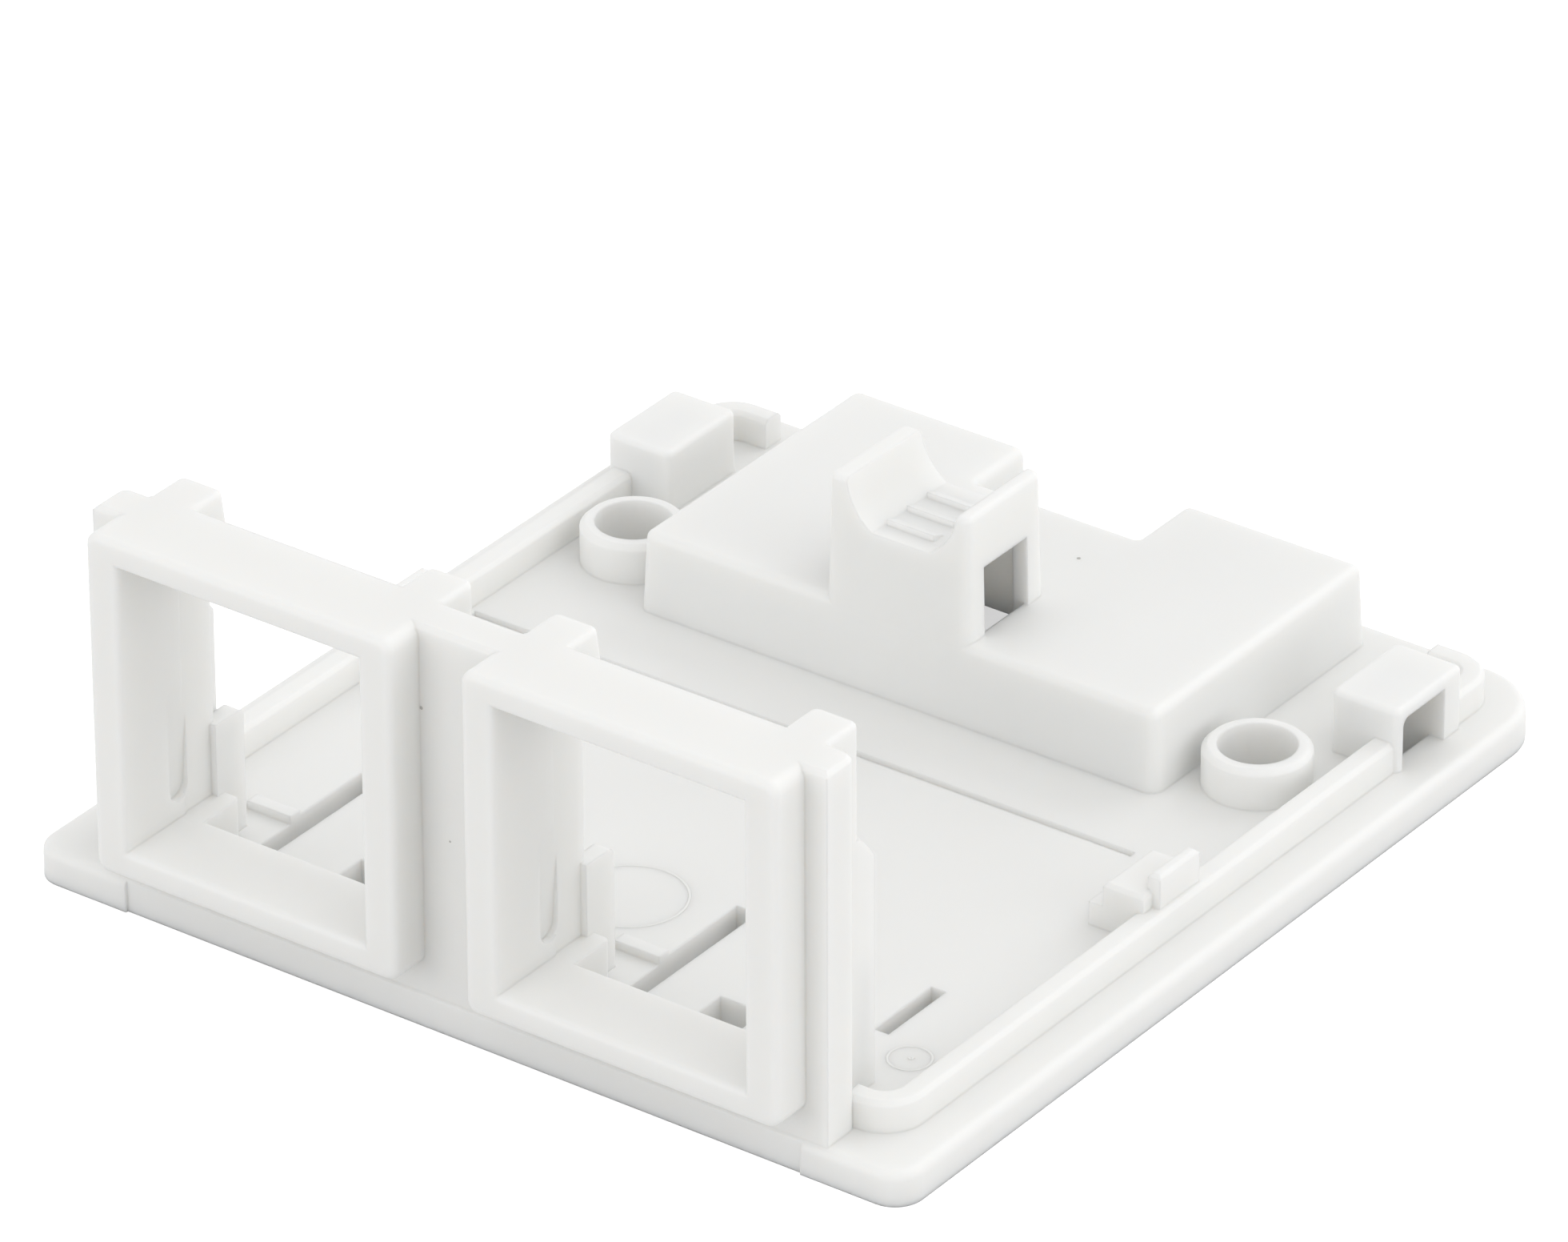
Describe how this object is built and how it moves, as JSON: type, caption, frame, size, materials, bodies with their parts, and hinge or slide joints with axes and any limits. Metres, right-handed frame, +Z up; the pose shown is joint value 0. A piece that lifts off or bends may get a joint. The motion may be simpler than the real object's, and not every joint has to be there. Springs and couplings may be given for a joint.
{
  "type": "surface mount box base",
  "caption": "Open moulded base of a surface mount box, with snap-in jack ports in its front wall, a cable tie saddle and wall screw bosses.",
  "frame": {"origin": "on the underside, under the middle of the whole outline", "axes": "+Z up out of the mounting surface, -Y out of the ports, +X to the right seen from in front of the ports"},
  "size_m": [0.0534, 0.059, 0.0226],
  "materials": {
    "white_plastic": "fine moulded satin"
  },
  "bodies": {
    "root": {"base": "white_plastic"}
  },
  "joints": []
}
